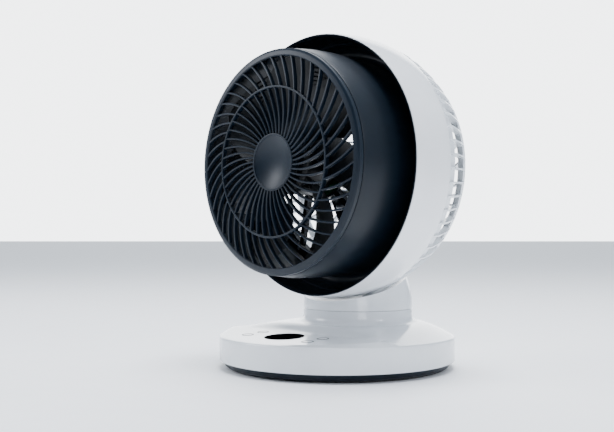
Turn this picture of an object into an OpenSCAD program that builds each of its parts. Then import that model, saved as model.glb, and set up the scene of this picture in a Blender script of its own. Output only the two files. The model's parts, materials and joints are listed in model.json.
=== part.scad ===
// Desk air circulator: round ball head on a swivelling neck over a wide disc base.
// Units mm. Origin: centre of the underside of the base, +Z up, the air leaves towards -Y.

/* [Overall] */
// outside diameter of the ball head
head_d = 286; // [250:1:345]
// outside diameter of the base wall
base_d = 255; // [214:1:310]
// height of the seam between the base collar and the neck
seam_z = 61.5; // [58:0.5:74]
// height from the seam to the underside of the ball
neck_rise = 12.5; // [10.5:0.5:15]
// outside diameter of the neck at the seam
neck_d = 121.4; // [116:0.1:128]
// distance of the neck axis behind the base centre
neck_y = 34.8; // [30:0.1:40]
// distance of the ball centre in front of the neck axis
head_fwd = 41.8; // [36:0.1:48]

/* [Head] */
// ball centre to the front edge of the white ring
band_front = 29.4; // [24:0.1:34]
// ball centre to the rear edge of the white ring
band_rear = 24; // [20:0.1:28]
// wall of the white ring
band_wall = 1.8; // [1.5:0.1:2.2]
// radial distance from the ball surface in to the drum
trough_w = 25; // [22:0.5:30]
// ball centre to the front face of the grille rim
grille_x = 86; // [82:0.5:96]
// number of front grille spokes
spokes = 45; // [30:1:54]
// width of one front grille spoke
spoke_w = 1.8; // [1.2:0.1:2.4]
// radius of the middle ring of the front grille
mid_r = 77; // [68:0.5:84]
// outside radius of the front hub rim
hub_r = 29.6; // [26:0.1:34]
// number of rear grille ribs
rear_ribs = 60; // [40:1:72]
// thickness of one rear grille rib
rib_t = 1.9; // [1.4:0.1:2.4]
// ball centre to the back face of the rear grille
rear_x = 98; // [96:0.5:112]

/* [Fan and motor] */
// number of blades
blades = 7; // [5:1:9]
// gap from the blade tips to the drum
tip_gap = 4; // [2.5:0.5:8]
// axial height of the blades
blade_h = 32; // [26:1:34]
// radius of the motor shaft
shaft_r = 3; // [2.5:0.1:3.6]
// radial gap of the running fits
run_fit = 0.05; // [0.03:0.01:0.08]
// radius of the stator
stator_r = 22.3; // [20:0.1:22.4]

/* [Tilt and swivel] */
// angle of the tilt arm behind straight down
arm_a = 26.5; // [25.5:0.5:27.5]
// half width of the tilt arm
arm_hw = 12; // [11:0.5:13]
// radius of the tilt axle
axle_r = 4; // [3.6:0.1:4.4]
// gap between the ball and the neck saddle
saddle_gap = 3.5; // [2.5:0.1:4.5]
// gear module of the swivel drive
sw_m = 1.5; // [1.4:0.1:1.5]
// teeth of the swivel gear
sw_z = 68; // [60:1:68]
// teeth of the swivel pinion
sw_pz = 16; // [14:2:18]

/* [Base] */
// wall of the base cover
base_wall = 2.6; // [2.2:0.1:3.2]
// height of the top edge of the base wall
rim_z = 34.7; // [32:0.1:38]
// radius of the round display window
window_r = 21; // [17:0.5:25]
// number of rubber feet
feet = 5; // [3:1:8]

/* [Hidden] */
$fn = 96;
e = 0.01;
gap = 0.2;

Rh = head_d/2;
Rb = base_d/2;
Rs = Rh + saddle_gap;
axis_z = seam_z + neck_rise + Rh;
hy = neck_y - head_fwd;
neck_r = neck_d/2;
drum_r = Rh - trough_w;
Rin = Rh - band_wall;

white = [0.93, 0.94, 0.95];
dark = [0.13, 0.17, 0.21];
black = [0.05, 0.06, 0.07];
steel = [0.72, 0.73, 0.75];
green = [0.10, 0.32, 0.20];
pom = [0.88, 0.87, 0.82];

module head() translate([0, hy, axis_z]) rotate([90, 0, 0]) children();
module neck_ax() translate([0, neck_y, 0]) children();
module polar(n, r, a0 = 0) for (i = [0:n - 1]) rotate([0, 0, a0 + i*360/n]) translate([r, 0, 0]) children();
module tube(ro, ri, z0, z1) translate([0, 0, z0]) difference() {
  cylinder(r = ro, h = z1 - z0);
  translate([0, 0, -1]) cylinder(r = ri, h = z1 - z0 + 2);
}
// pan head screw pointing down from z = 0, shank below
module screw(r, l, hr, hh) {
  translate([0, 0, -l]) cylinder(r = r, h = l + e, $fn = 24);
  difference() {
    cylinder(r = hr, h = hh, $fn = 32);
    translate([0, 0, hh*0.45]) cylinder(r = hr*0.5, h = hh, $fn = 6);
  }
}
function sph(R, x) = sqrt(R*R - x*x);
function mix(a, b, t) = a + (b - a)*t;
function sst(a, b, x) = let(t = min(1, max(0, (x - a)/(b - a)))) t*t*(3 - 2*t);

// involute spur gear outline, one tooth centred on +X, thinned for backlash
function inv(a) = tan(a)*180/PI - a;
function gpt(r, a) = [r*cos(a), r*sin(a)];
function gear_half(m, z, s) = let(rp = m*z/2, rb = rp*cos(20), ra = rp + m*0.95,
    th = 90/z + inv(20) - 180*0.06/(PI*rp), r0 = max(rb, rp - m*1.2))
  [for (k = [0:3]) let(r = r0 + (ra - r0)*k/3, a = acos(min(1, rb/r))) gpt(r, s*(th - inv(a)))];
function gear_pts(m, z) = let(rp = m*z/2, rb = rp*cos(20), rf = rp - m*1.22,
    th = 90/z + inv(20) - 180*0.06/(PI*rp))
  [for (i = [0:z - 1]) let(c = cos(i*360/z), s = sin(i*360/z))
    for (p = concat([gpt(rf, -min(th + 0.2, 176/z))], gear_half(m, z, -1),
        [for (k = [3:-1:0]) gear_half(m, z, 1)[k]], [gpt(rf, min(th + 0.2, 176/z))]))
      [p[0]*c - p[1]*s, p[0]*s + p[1]*c]];

// ---------------------------------------------------------------- base
pan_top = 8.6;
floor_t = 2.5;
pan_z = 1.2;
fz = pan_z + floor_t;
inner_r = Rb - base_wall;
boss_r = Rb - 13.5;
// turned so that no boss meets the board, a foot or the cord
boss_a = 12;
collar_ri = neck_r - 3;
foot_r = neck_r + 8;
foot_z = 47;
plat_a = 3.5/67;
function plat_z(y) = rim_z + 1 + (y + 118)*plat_a;
function land(x, y, t) = mix(plat_z(y), rim_z + 0.6 + (foot_z - rim_z - 0.6)*(1 - pow(t, 1.5)),
  sst(neck_y - foot_r - 18, neck_y - foot_r, y));
tt = [0, 0.05, 0.1, 0.15, 0.2, 0.3, 0.42, 0.55, 0.68, 0.8, 0.9, 0.97];
function land_pt(t, a, r0, r1, dz) = let(x = mix(r0*cos(a), r1*cos(a), t),
  y = mix(neck_y + r0*sin(a), r1*sin(a), t)) [x, y, land(x, y, t) + dz];
function col_pt(r, z, a) = [r*cos(a), neck_y + r*sin(a), z];
function rim_pt(r, z, a) = [r*cos(a), r*sin(a), z];
// one closed section of the cover at the angle a
function cover_loop(a) = let(p0 = land_pt(0, a, foot_r, Rb - 1, 0), q0 = land_pt(0, a, foot_r, inner_r,
    -base_wall))
  concat([col_pt(neck_r - 0.6, seam_z, a), col_pt(neck_r, seam_z - 0.6, a)],
    [for (k = [0:3]) col_pt(foot_r - 8*cos(k*25), p0[2] + 8 - 8*sin(k*25), a)],
    [for (t = tt) land_pt(t, a, foot_r, Rb - 1, 0)],
    [rim_pt(Rb - 0.9, rim_z + 0.2, a), rim_pt(Rb - 0.2, rim_z - 0.8, a), rim_pt(Rb, rim_z - 2, a),
     rim_pt(Rb, pan_top + gap, a), rim_pt(inner_r, pan_top + gap, a), rim_pt(inner_r, rim_z - 2.6, a)],
    [for (i = [len(tt) - 2:-1:0]) land_pt(tt[i], a, foot_r, inner_r, -base_wall)],
    [col_pt(collar_ri + 0.4, q0[2] - 0.4, a), col_pt(collar_ri, q0[2] + 1.4, a), col_pt(collar_ri,
        seam_z - 11.5, a),
     col_pt(44.5, seam_z - 11.5, a), col_pt(44.5, seam_z - 8.5, a), col_pt(collar_ri, seam_z - 8.5, a),
     col_pt(collar_ri, seam_z, a)]);
module loft(loops) {
  n = len(loops);
  m = len(loops[0]);
  polyhedron(points = [for (l = loops) for (p = l) p],
    faces = [for (i = [0:n - 1]) for (j = [0:m - 1]) for (f = [0, 1])
      let(i2 = (i + 1) % n, j2 = (j + 1) % m)
      f == 0 ? [i*m + j, i2*m + j2, i*m + j2] : [i*m + j, i2*m + j, i2*m + j2]], convexity = 10);
}
// frame lying on the sloped platform at y, z up from its surface
module plat(x, y) translate([x, y, plat_z(y)]) rotate([atan(plat_a), 0, 0]) children();
win_y = -78.9;
icons = [[-44.5, -89.8], [44.5, -89.8], [-44.5, -68], [44.5, -68]];
module base_cover() color(white) difference() {
  union() {
    loft([for (i = [0:71]) cover_loop(i*5)]);
    polar(6, boss_r, boss_a) {
      tube(5, 1.7, pan_top + gap + 0.3, rim_z - 5);
      translate([4.5, -1.2, pan_top + 3.4]) cube([9.6 - base_wall, 2.4, rim_z - pan_top - 8.4]);
    }
  }
  plat(0, win_y) translate([0, 0, -1.2]) cylinder(r = window_r + 0.15, h = 4);
  plat(0, win_y) translate([0, 0, -6]) cylinder(r = window_r - 3, h = 9);
  translate([0, Rb - 8, 21]) rotate([-90, 0, 0]) cylinder(r = 6.6, h = 12, $fn = 48);
}
module base_pan() color(dark) difference() {
  union() {
    rotate_extrude() polygon([[0, pan_z], [Rb - 9, pan_z], [Rb - 6, 3.4], [Rb - 3, pan_top],
      [inner_r - 0.4, pan_top], [inner_r - 0.4, pan_top + 3], [inner_r - 2.6, pan_top + 3],
      [inner_r - 3.4, 4.6], [Rb - 10, fz], [0, fz]]);
    polar(6, boss_r, boss_a) cylinder_at(5, fz - 1, pan_top);
    translate([-63, neck_y + 8, 0]) for (s = [-1, 1]) translate([s*17.5, 0, 0]) cylinder_at(3.4, fz - 1,
        32.8);
    for (p = board_pts) translate([p[0], p[1], 0]) cylinder_at(3, fz - 1, 12);
    for (p = ballast_pts) translate([p[0], p[1], 0]) cylinder_at(3.4, fz - 1, fz + 4);
  }
  polar(6, boss_r, boss_a) {
    cylinder_at(1.75, 0, 20);
    cylinder_at(3.6, 0, 5);
  }
  polar(feet, Rb - 22, 90 + 180/feet) cylinder_at(6.1, 0, 2.2);
  translate([-63, neck_y + 8, 0]) for (s = [-1, 1]) translate([s*17.5, 0, 0]) cylinder_at(1.3, 20, 40);
  for (p = board_pts) translate([p[0], p[1], 0]) cylinder_at(1.3, 6, 20);
  for (p = ballast_pts) translate([p[0], p[1], 0]) cylinder_at(1.55, fz - 1, 20);
}
module cylinder_at(r, z0, z1) translate([0, 0, z0]) cylinder(r = r, h = z1 - z0, $fn = 40);
pb_x = Rb - 94.5;
board_pts = [for (u = [5, 55], v = [8, 62]) [pb_x + u, v]];
ballast_pts = [[67.5 - Rb, -35], [Rb - 67.5, -35], [0, 39.5 - Rb]];
module foot_pads() color(black) polar(feet, Rb - 22, 90 + 180/feet) {
  cylinder_at(6, 0.4, 2.1);
  translate([0, 0, 0]) cylinder(r1 = 5.6, r2 = 6, h = 0.4 + e, $fn = 40);
}
module ballast_plate() color(steel) difference() {
  intersection() {
    cylinder_at(Rb - 22, fz + 4, fz + 10);
    translate([-200, -200, 0]) cube([400, 200 - 15, 60]);
  }
  for (p = ballast_pts) translate([p[0], p[1], 0]) cylinder_at(1.75, 0, 20);
}
module ballast_screws() color(steel) for (p = ballast_pts) translate([p[0], p[1], fz + 10]) screw(1.5, 9,
    3, 1.8);
module display_window() color(black) plat(0, win_y) translate([0, 0, -1.1]) cylinder(r = window_r, h = 1.3);
module touch_rings() color(steel) for (p = icons) plat(p[0], p[1]) translate([0, 0, 0.02]) difference() {
  cylinder(r = 6.25, h = 0.16, $fn = 64);
  translate([0, 0, -1]) cylinder(r = 5.4, h = 3, $fn = 64);
}
// board and its parts hang under the platform
module display_board() color(green) plat(0, win_y) translate([0, 0, -base_wall - 6.4]) {
  difference() {
    translate([-56, -22, 0]) cube([112, 40, 1.6]);
    for (s = [-1, 1], v = [-1, 1]) translate([s*52, -2 + v*16, -1]) cylinder(r = 1.6, h = 4, $fn = 24);
  }
  translate([-14, -10, 1.6 - e]) cube([28, 20, 4]);
  for (p = icons) translate([p[0], p[1] - win_y, 1.6 - e]) cylinder(r = 4.5, h = 4.4, $fn = 32);
  translate([-30, 6, -3]) cube([12, 8, 3 + e]);
}
module display_screws() color(steel) plat(0, win_y) for (s = [-1, 1], v = [-1, 1])
  translate([s*52, -2 + v*16, -base_wall - 6.6]) rotate([180, 0, 0]) screw(1.4, 6.2, 2.6, 1.5);
module power_board() color(green) {
  difference() {
    translate([pb_x, 3, 12]) cube([60, 64, 1.6]);
    for (p = board_pts) translate([p[0], p[1], 0]) cylinder_at(1.5, 10, 16);
  }
  translate([pb_x + 9, 14, 13.6 - e]) cube([22, 20, 16]);
  translate([pb_x + 39, 20, 13.6 - e]) cylinder(r = 6, h = 14, $fn = 40);
  translate([pb_x + 39, 40, 13.6 - e]) cylinder(r = 5, h = 12, $fn = 40);
  translate([pb_x + 11, 46, 13.6 - e]) cube([16, 12, 8]);
}
module board_screws() color(steel) for (p = board_pts) translate([p[0], p[1], 13.6]) screw(1.25, 6, 2.6,
    1.6);
module cord_grommet() color(black) translate([0, Rb, 21]) rotate([-90, 0, 0]) difference() {
  union() {
    translate([0, 0, -10]) cylinder(r = 8.6, h = 5, $fn = 48);
    translate([0, 0, -base_wall - 4]) cylinder(r = 6.4, h = base_wall + 5.2, $fn = 48);
  }
  translate([0, 0, -12]) cylinder(r = 3.6, h = 20, $fn = 48);
}
module base_screws() color(steel) polar(6, boss_r, boss_a) translate([0, 0, 4.9]) rotate([180, 0, 0])
    screw(1.6, 14, 3.2, 1.8);

// ------------------------------------------------ swivel drive
sw_c = sw_m*(sw_z + sw_pz)/2;
gear_z = 38.5;
hub_ro = 43.9;
module swivel_motor() color(steel) translate([-sw_c, neck_y, 0]) {
  translate([0, 8, 14]) cylinder(r = 14, h = 19, $fn = 64);
  translate([0, 8, 33]) difference() {
    union() {
      translate([-17.5, -3.5, 0]) cube([35, 7, 0.8]);
      for (s = [-1, 1]) translate([s*17.5, 0, 0]) cylinder(r = 3.5, h = 0.8, $fn = 32);
    }
    for (s = [-1, 1]) translate([s*17.5, 0, -1]) cylinder(r = 1.6, h = 3, $fn = 24);
  }
  translate([0, 0, 33 - e]) cylinder(r = 4.5, h = 1.8, $fn = 40);
  translate([0, 0, 33]) cylinder(r = 2.45, h = gear_z + 3.6 - 33, $fn = 32);
}
module swivel_motor_screws() color(steel) translate([-63, neck_y + 8, 33.8]) for (s = [-1, 1])
  translate([s*17.5, 0, 0]) screw(1.25, 8, 2.6, 1.6);
module swivel_pinion() color(pom) translate([-sw_c, neck_y, gear_z]) rotate([0, 0, 180/sw_pz])
    difference() {
  linear_extrude(4.5) polygon(gear_pts(sw_m, sw_pz));
  translate([0, 0, -1]) cylinder(r = 2.45 + run_fit, h = 7, $fn = 32);
}
module swivel_gear() color(pom) neck_ax() difference() {
  union() {
    translate([0, 0, gear_z]) rotate([0, 0, 180]) linear_extrude(4) polygon(gear_pts(sw_m, sw_z));
    cylinder_at(hub_ro, gear_z + 4 - e, seam_z - 15.8);
  }
  cylinder_at(30, 30, 60);
  polar(6, 37, 30) cylinder_at(1.75, 30, 60);
}
module retainer_ring() color(steel) neck_ax() difference() {
  tube(52, 30, seam_z - 15.8, seam_z - 11.8);
  polar(6, 37, 30) cylinder_at(1.75, 30, 60);
}
module bearing_ring() color(pom) neck_ax() tube(56, 46, seam_z - 8.5, seam_z - 6.5);
module turntable() color(dark) neck_ax() difference() {
  union() {
    tube(collar_ri - 0.4, 12, seam_z - 6.2, seam_z + 0.3);
    tube(hub_ro, 30, seam_z - 11.8, seam_z - 6.2 + e);
  }
  polar(6, 37, 30) cylinder_at(1.45, 40, seam_z - 2);
  polar(4, 51, 45) cylinder_at(1.75, 40, 80);
  polar(4, 51, 45) cylinder_at(3.4, 40, seam_z - 3);
  translate([0, arm_y - neck_y, 0]) for (s = [-1, 1], v = [-1, 1]) translate([s*16, v*9, 0])
      cylinder_at(1.45, seam_z - 4.6, 80);
}
module turntable_screws() color(steel) neck_ax() polar(6, 37, 30) translate([0, 0, gear_z]) rotate([180,
    0, 0]) screw(1.4, seam_z - gear_z - 5, 3, 1.8);

// ------------------------------------------------ neck
nz0 = seam_z + 0.3;
neck_top = axis_z - sph(Rs, head_fwd + neck_r - 6) + 6;
neck_h = neck_top - nz0;
function neck_rad(z, w) = neck_r - w - 17*pow((z - nz0)/56, 2);
module neck_solid(w, z0) neck_ax() rotate_extrude() polygon(concat([[0, z0]],
  [for (k = [0:10]) let(z = z0 + (neck_top - z0)*k/10) [neck_rad(z, w), z]], [[0, neck_top]]));
arm_y = hy + (Rs + 1)*sin(arm_a);
module neck_shell() color(white) difference() {
  neck_solid(0, nz0);
  translate([0, hy, axis_z]) sphere(r = Rs, $fn = 160);
  difference() {
    neck_solid(base_wall, nz0 + 2.4);
    translate([0, hy, axis_z]) sphere(r = Rs + 2.6, $fn = 160);
  }
  neck_ax() cylinder_at(46, seam_z - 5, nz0 + 3);
  translate([-arm_hw - 2.5, arm_y - 19, nz0 + 2]) cube([2*arm_hw + 5, 38, 60]);
  neck_ax() polar(4, 51, 45) cylinder_at(1.45, seam_z - 5, nz0 + 1.9);
}
module neck_screws() color(steel) neck_ax() polar(4, 51, 45) translate([0, 0, seam_z - 3]) rotate([180,
    0, 0]) screw(1.4, 5, 3.1, 1.8);

// ------------------------------------------------ tilt arm, its plane is YZ
module yz(x0, x1) translate([x0, 0, 0]) rotate([90, 0, 90]) linear_extrude(x1 - x0) children();
module pivot_pt() translate([hy, axis_z]) children();
ts_m = 1;
ts_z = 48;
tp_z = 16;
ts_c = ts_m*(ts_z + tp_z)/2;
arm_sx = sin(arm_a);
arm_cx = cos(arm_a);
arm_t = 6;
// point at the distance d down the arm, w to its rear side
function arm_pt(d, w) = [hy + d*arm_sx + w*arm_cx, axis_z - d*arm_cx + w*arm_sx];
eye_r = 11;
module tilt_arm() color(dark) difference() {
  union() {
    yz(-arm_hw, arm_hw) pivot_pt() circle(r = eye_r);
    yz(-arm_hw, -3.5) polygon([arm_pt(0, -arm_t), arm_pt(0, arm_t), arm_pt(66, arm_t), arm_pt(66, -arm_t)]);
    yz(-arm_hw, arm_hw) polygon([arm_pt(54, -arm_t), arm_pt(54, arm_t), arm_pt(Rs - 4, arm_t),
        [arm_y + 11, seam_z + 10],
      [arm_y + 11, seam_z + 0.3], [arm_y - 9, seam_z + 0.3], [arm_y - 9, seam_z + 12], arm_pt(Rs - 4,
          -arm_t)]);
    translate([-21, arm_y - 13, seam_z + 0.3]) cube([42, 26, 4]);
  }
  yz(-20, 20) pivot_pt() circle(r = 6.05);
  yz(3.6, 20) polygon([arm_pt(8, -30), arm_pt(8, 30), arm_pt(54, 30), arm_pt(54, -30)]);
  translate([0, arm_y, 0]) for (s = [-1, 1], v = [-1, 1]) translate([s*16, v*9, 0]) cylinder_at(1.7, 40,
      100);
  yz(-20, 20) translate(arm_pt(ts_c, 0)) circle(r = 2.6);
  yz(-4, -2) translate(arm_pt(ts_c + 7, 0)) circle(r = 12.4);
}
module arm_screws() color(steel) translate([0, arm_y, seam_z + 4.3]) for (s = [-1, 1], v = [-1, 1])
  translate([s*16, v*9, 0]) screw(1.4, 8, 2.8, 1.8);
module arm_bush() color(pom) translate([0, hy, axis_z]) rotate([0, 90, 0]) {
  tube(6, axle_r + run_fit, -arm_hw, arm_hw);
  tube(8, axle_r + run_fit, -arm_hw - 1.2, -arm_hw - e);
  tube(8, axle_r + run_fit, arm_hw + e, arm_hw + 1.2);
}
// motor body beside the arm, its shaft reaching out to the pinion
module tilt_motor() color(steel) {
  yz(-3.3, 13) translate(arm_pt(ts_c + 7, 0)) circle(r = 12);
  yz(13 - e, 14.6) translate(arm_pt(ts_c, 0)) circle(r = 4);
  yz(13, 27.4) translate(arm_pt(ts_c, 0)) circle(r = 2);
}
module tilt_pinion() color(pom) difference() {
  yz(21.4, 27.4) translate(arm_pt(ts_c, 0)) rotate(90 + arm_a + 180/tp_z) polygon(gear_pts(ts_m, tp_z));
  yz(20, 29) translate(arm_pt(ts_c, 0)) circle(r = 2 + run_fit);
}

// ------------------------------------------------ head
module outer_ring() color(white) head() difference() {
  sphere(r = Rh, $fn = 180);
  sphere(r = Rin, $fn = 180);
  translate([0, 0, band_front]) cylinder(r = Rh + 5, h = Rh);
  translate([0, 0, -band_rear - Rh]) cylinder(r = Rh + 5, h = Rh);
}
// visible face of the shroud from the lip to the drum, [radius, forward]
lip_x = band_front - 0.9;
flo_x = -20;
shroud_face = [[sph(Rh, band_front) - 0.5, band_front + gap], [sph(Rh, band_front) - 0.5, band_front + 1],
  [sph(Rh, band_front) - 1.1, band_front + 1.3], [sph(Rin, lip_x) - 1.2, lip_x], [Rh - 5.6, 15],
      [Rh - 6.6, 3], [Rh - 7.2, -4], [Rh - 9.6, -6],
  [Rh - 11.5, -14], [Rh - 16, flo_x + 1], [drum_r + 4, flo_x], [drum_r + 0.4, flo_x + 4], [drum_r, 0],
  [drum_r + 1.4, 20], [drum_r + 2, 40], [drum_r + 1.4, 58], [drum_r, 72], [drum_r - 1.2, grille_x - 6]];
shroud_back = [[drum_r - 3.2, grille_x - 6], [drum_r - 2, 72], [drum_r - 0.8, 58], [drum_r - 0.2, 40],
  [drum_r - 0.8, 20], [drum_r - 2.2, 0], [drum_r - 2.2, flo_x + 1.6], [drum_r - 14, flo_x + 1.6],
      [drum_r - 14, flo_x - 2.2],
  [Rh - 15, flo_x - 2.2], [Rh - 9.4, -15], [Rh - 7.4, -8], [Rh - 4.8, -6], [Rh - 4.4, 3], [Rh - 3.5, 15],
  [sph(Rin - 0.2, lip_x - 4) - 0.4, lip_x - 4], [sph(Rin - 0.2, band_front), band_front],
  [sph(Rin - 0.2, band_front), band_front + gap]];
gb_r = Rh - 14.5;
gb_x = -36;
module front_shroud() color(dark) head() difference() {
  union() {
    rotate_extrude() polygon(concat(shroud_face, shroud_back));
    polar(6, gb_r, 60) translate([0, 0, gb_x]) cylinder(r = 4.2, h = flo_x - gb_x, $fn = 32);
  }
  polar(6, gb_r, 60) translate([0, 0, gb_x - 1]) cylinder(r = 1.5, h = 13, $fn = 24);
  polar(5, drum_r - 8, 90) translate([0, 0, flo_x - 5]) cylinder(r = 1.5, h = 9, $fn = 24);
}
// one curved spoke as [radius, angle] points, leaning from l0 to l1 degrees
function lean(r0, r1, l0, l1, n) = [for (k = [0:n]) let(r = r0*pow(r1/r0, k/n), f = k/n)
  [r, (l0*f + (l1 - l0)*f*f/2)*ln(r1/r0)*1.08, l0 + (l1 - l0)*f]];
function spoke_pts(c, w) = concat(
  [for (p = c) let(a = p[1], q = p[2]) [p[0]*cos(a) + w/2*sin(a + q), p[0]*sin(a) - w/2*cos(a + q)]],
  [for (k = [len(c) - 1:-1:0]) let(p = c[k], a = p[1], q = p[2])
    [p[0]*cos(a) - w/2*sin(a + q), p[0]*sin(a) + w/2*cos(a + q)]]);
ring_ro = drum_r - 1.5;
ring_ri = drum_r - 8.2;
g0 = grille_x - 2;
hub_x = grille_x - 5.5;
bowl_d = 6;
bowl_r = (pow(hub_r - 2.6, 2) + bowl_d*bowl_d)/(2*bowl_d);
module front_grille() color(dark) head() {
  rotate_extrude() polygon([[ring_ro, grille_x - 1], [ring_ro - 2.4, grille_x], [ring_ri, grille_x + 1],
      [ring_ri - 1.2, grille_x],
    [ring_ri - 1.2, grille_x - 5.5], [ring_ri, grille_x - 5.5], [ring_ri + 0.6, grille_x - 3.5],
        [ring_ro - 2.2, grille_x - 5.95], [ring_ro, grille_x - 5.95]]);
  tube(mid_r + 1.1, mid_r - 1.1, g0, g0 + 7);
  tube(hub_r, hub_r - 2.4, hub_x, g0 + 5.2);
  translate([0, 0, hub_x]) difference() {
    cylinder(r = hub_r - 1, h = 1.5);
    translate([0, 0, -1]) cylinder(r = 4.6, h = 4, $fn = 40);
  }
  for (i = [0:spokes - 1]) rotate([0, 0, i*360/spokes]) {
    translate([0, 0, g0]) linear_extrude(4.4) polygon(spoke_pts(lean(mid_r, ring_ri, 28, 42, 4), spoke_w));
    translate([0, 0, g0]) linear_extrude(4.4) polygon(spoke_pts(lean(hub_r - 1.2, mid_r, 4, 22, 5),
        spoke_w));
  }
}
module hub_dish() color(dark) head() {
  difference() {
    translate([0, 0, hub_x + 1.6]) cylinder(r = hub_r - 2.6, h = bowl_d + 0.9);
    translate([0, 0, hub_x + 2.5 + bowl_r]) sphere(r = bowl_r);
  }
  translate([0, 0, hub_x + 0.2]) cylinder(r = 4.4, h = 2, $fn = 40);
}
// rear profile, [radius, behind the ball centre]
function rp(k) = [[Rh - 2, band_rear + 0.3], [sph(Rh + 0.6, 38), 38], [sph(Rh + 0.6, 54), 54],
    [sph(Rh + 1.2, 70), 70],
  [Rh - 25, 82], [Rh - 38, 90], [Rh - 53, rear_x - 4], [Rh - 80, rear_x - 1.5], [56, rear_x]][k];
module rear_grille() color(white) head() mirror([0, 0, 1]) difference() {
  union() {
    for (i = [0:rear_ribs - 1]) rotate([90, 0, (i + 0.5)*360/rear_ribs]) translate([0, 0, -rib_t/2])
        linear_extrude(rib_t)
      polygon([rp(0), rp(1), rp(2), rp(3), rp(3) - [6.5, 0], rp(2) - [6.5, 1], rp(1) - [5.5, 1], [Rh - 8,
          band_rear + 0.3]]);
    rotate_extrude() polygon([[Rh - 9.9, band_rear + 0.3], [Rh - 7, band_rear + 0.3], [Rh - 7.6, 38.6],
        [Rh - 9.9, 38.6]]);
    rotate_extrude() polygon([rp(3) - [8, 2], rp(3) - [0.6, 3], rp(3) - [1.4, -2], rp(3) - [8, -1]]);
    intersection() {
      translate([0, 0, 68]) linear_extrude(40) for (i = [0:rear_ribs/2 - 1]) rotate((i + 0.5)*720/rear_ribs)
        polygon(spoke_pts(lean(54, rp(3)[0] - 3, 34, 14, 4), rib_t));
      rotate_extrude() polygon([rp(3) - [8, 0], rp(3), rp(4), rp(5), rp(6), rp(7), rp(8), [50, rear_x],
        [50, rear_x - 5], rp(7) - [0, 5], rp(6) - [2, 5], rp(5) - [4, 5], rp(4) - [6, 4]]);
    }
    tube(57, 51, rear_x - 6, rear_x);
    polar(6, gb_r, 60) translate([0, 0, -gb_x + 0.1]) cylinder(r = 6.4, h = 3, $fn = 32);
    for (s = [-1, 1]) translate([s*(arm_hw + 4.5) - 1, 0, 0]) intersection() {
      translate([0, -Rh - 5, 0]) cube([2, Rh - 45, rear_x]);
      rotate_extrude() polygon([[Rh - 12, band_rear + 0.3], [sph(Rh, 26), 26], rp(1), rp(2), rp(3),
          rp(4), rp(5), rp(6), rp(7), rp(8),
        [40, rear_x], [40, rear_x - 6], rp(7) - [0, 6], rp(6) - [2, 6], rp(5) - [6, 6], rp(4) - [8, 6],
            rp(3) - [10, 2], rp(2) - [9, 2], rp(1) - [7, 0]]);
    }
  }
  translate([-arm_hw - 3.5, -Rh - 10, 30]) cube([2*arm_hw + 7, Rh - 42, rear_x]);
  polar(6, gb_r, 60) translate([0, 0, -gb_x - 1]) cylinder(r = 1.7, h = 6, $fn = 24);
}
module rear_cap() color(white) head() mirror([0, 0, 1]) {
  tube(50.8, 47, rear_x - 8, rear_x - 1);
  translate([0, 0, rear_x - 2.4]) cylinder(r = 47 + e, h = 2.4);
}
module grille_screws() color(steel) head() polar(6, gb_r, 60) translate([0, 0, gb_x - 3.2]) rotate([180,
    0, 0]) screw(1.45, 12, 3, 1.8);

// ------------------------------------------------ motor mount and pivot
mp_x = 14;
module motor_mount() color(dark) head() difference() {
  union() {
    translate([0, 0, mp_x]) cylinder(r = 36, h = 4);
    translate([0, 0, mp_x + 2]) cylinder(r = 10.6, h = 26);
    translate([0, 0, flo_x + 1.7]) difference() {
      cylinder(r = drum_r - 2.7, h = 4);
      translate([0, 0, -1]) cylinder(r = drum_r - 13.5, h = 6);
    }
    for (i = [0:4]) rotate([90, 0, 90 + i*72]) translate([0, 0, -3]) linear_extrude(6)
      polygon([[26, mp_x + 0.6], [26, mp_x + 3.2], [38, mp_x + 3.2], [drum_r - 10, flo_x + 5.2],
          [drum_r - 5, flo_x + 5.2],
        [drum_r - 5, flo_x + 2.2], [drum_r - 16, flo_x + 2.2]]);
    for (s = [-1, 1]) translate([s*(arm_hw + 4.5) - 2.5, 0, 0]) {
      rotate([0, 90, 0]) cylinder(r = 9, h = 5, $fn = 64);
      translate([0, -8.4, 0]) cube([5, 16.8, mp_x + 2]);
    }
  }
  translate([-40, 0, 0]) rotate([0, 90, 0]) cylinder(r = axle_r + 0.03, h = 80, $fn = 48);
  translate([0, 0, mp_x + 5]) cylinder(r = 6 + 0.05, h = 30);
  translate([0, 0, mp_x - 1]) cylinder(r = 4.2, h = 8, $fn = 40);
  for (i = [0:4]) rotate([0, 0, 90 + i*72]) translate([drum_r - 8, 0, flo_x - 5]) cylinder(r = 1.7,
      h = 20, $fn = 24);
}
module mount_screws() color(steel) head() polar(5, drum_r - 8, 90) translate([0, 0, flo_x + 5.75])
    screw(1.4, 7.5, 2.8, 1.8);
module tilt_axle() color(steel) head() translate([-arm_hw - 10, 0, 0]) rotate([0, 90, 0]) difference() {
  cylinder(r = axle_r, h = 2*arm_hw + 20, $fn = 48);
  for (z = [1.5, 2*arm_hw + 17.5]) translate([0, 0, z]) difference() {
    cylinder(r = 6, h = 1);
    translate([0, 0, -1]) cylinder(r = axle_r - 0.8, h = 3, $fn = 32);
  }
}
module axle_clips() color(black) head() translate([-arm_hw - 10, 0, 0]) rotate([0, 90, 0])
  for (z = [1.6, 2*arm_hw + 17.6]) translate([0, 0, z]) difference() {
    cylinder(r = 6.4, h = 0.8, $fn = 40);
    translate([0, 0, -1]) cylinder(r = axle_r - 0.7, h = 3, $fn = 32);
    translate([0, -2.2, -1]) cube([8, 4.4, 3]);
  }
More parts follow.
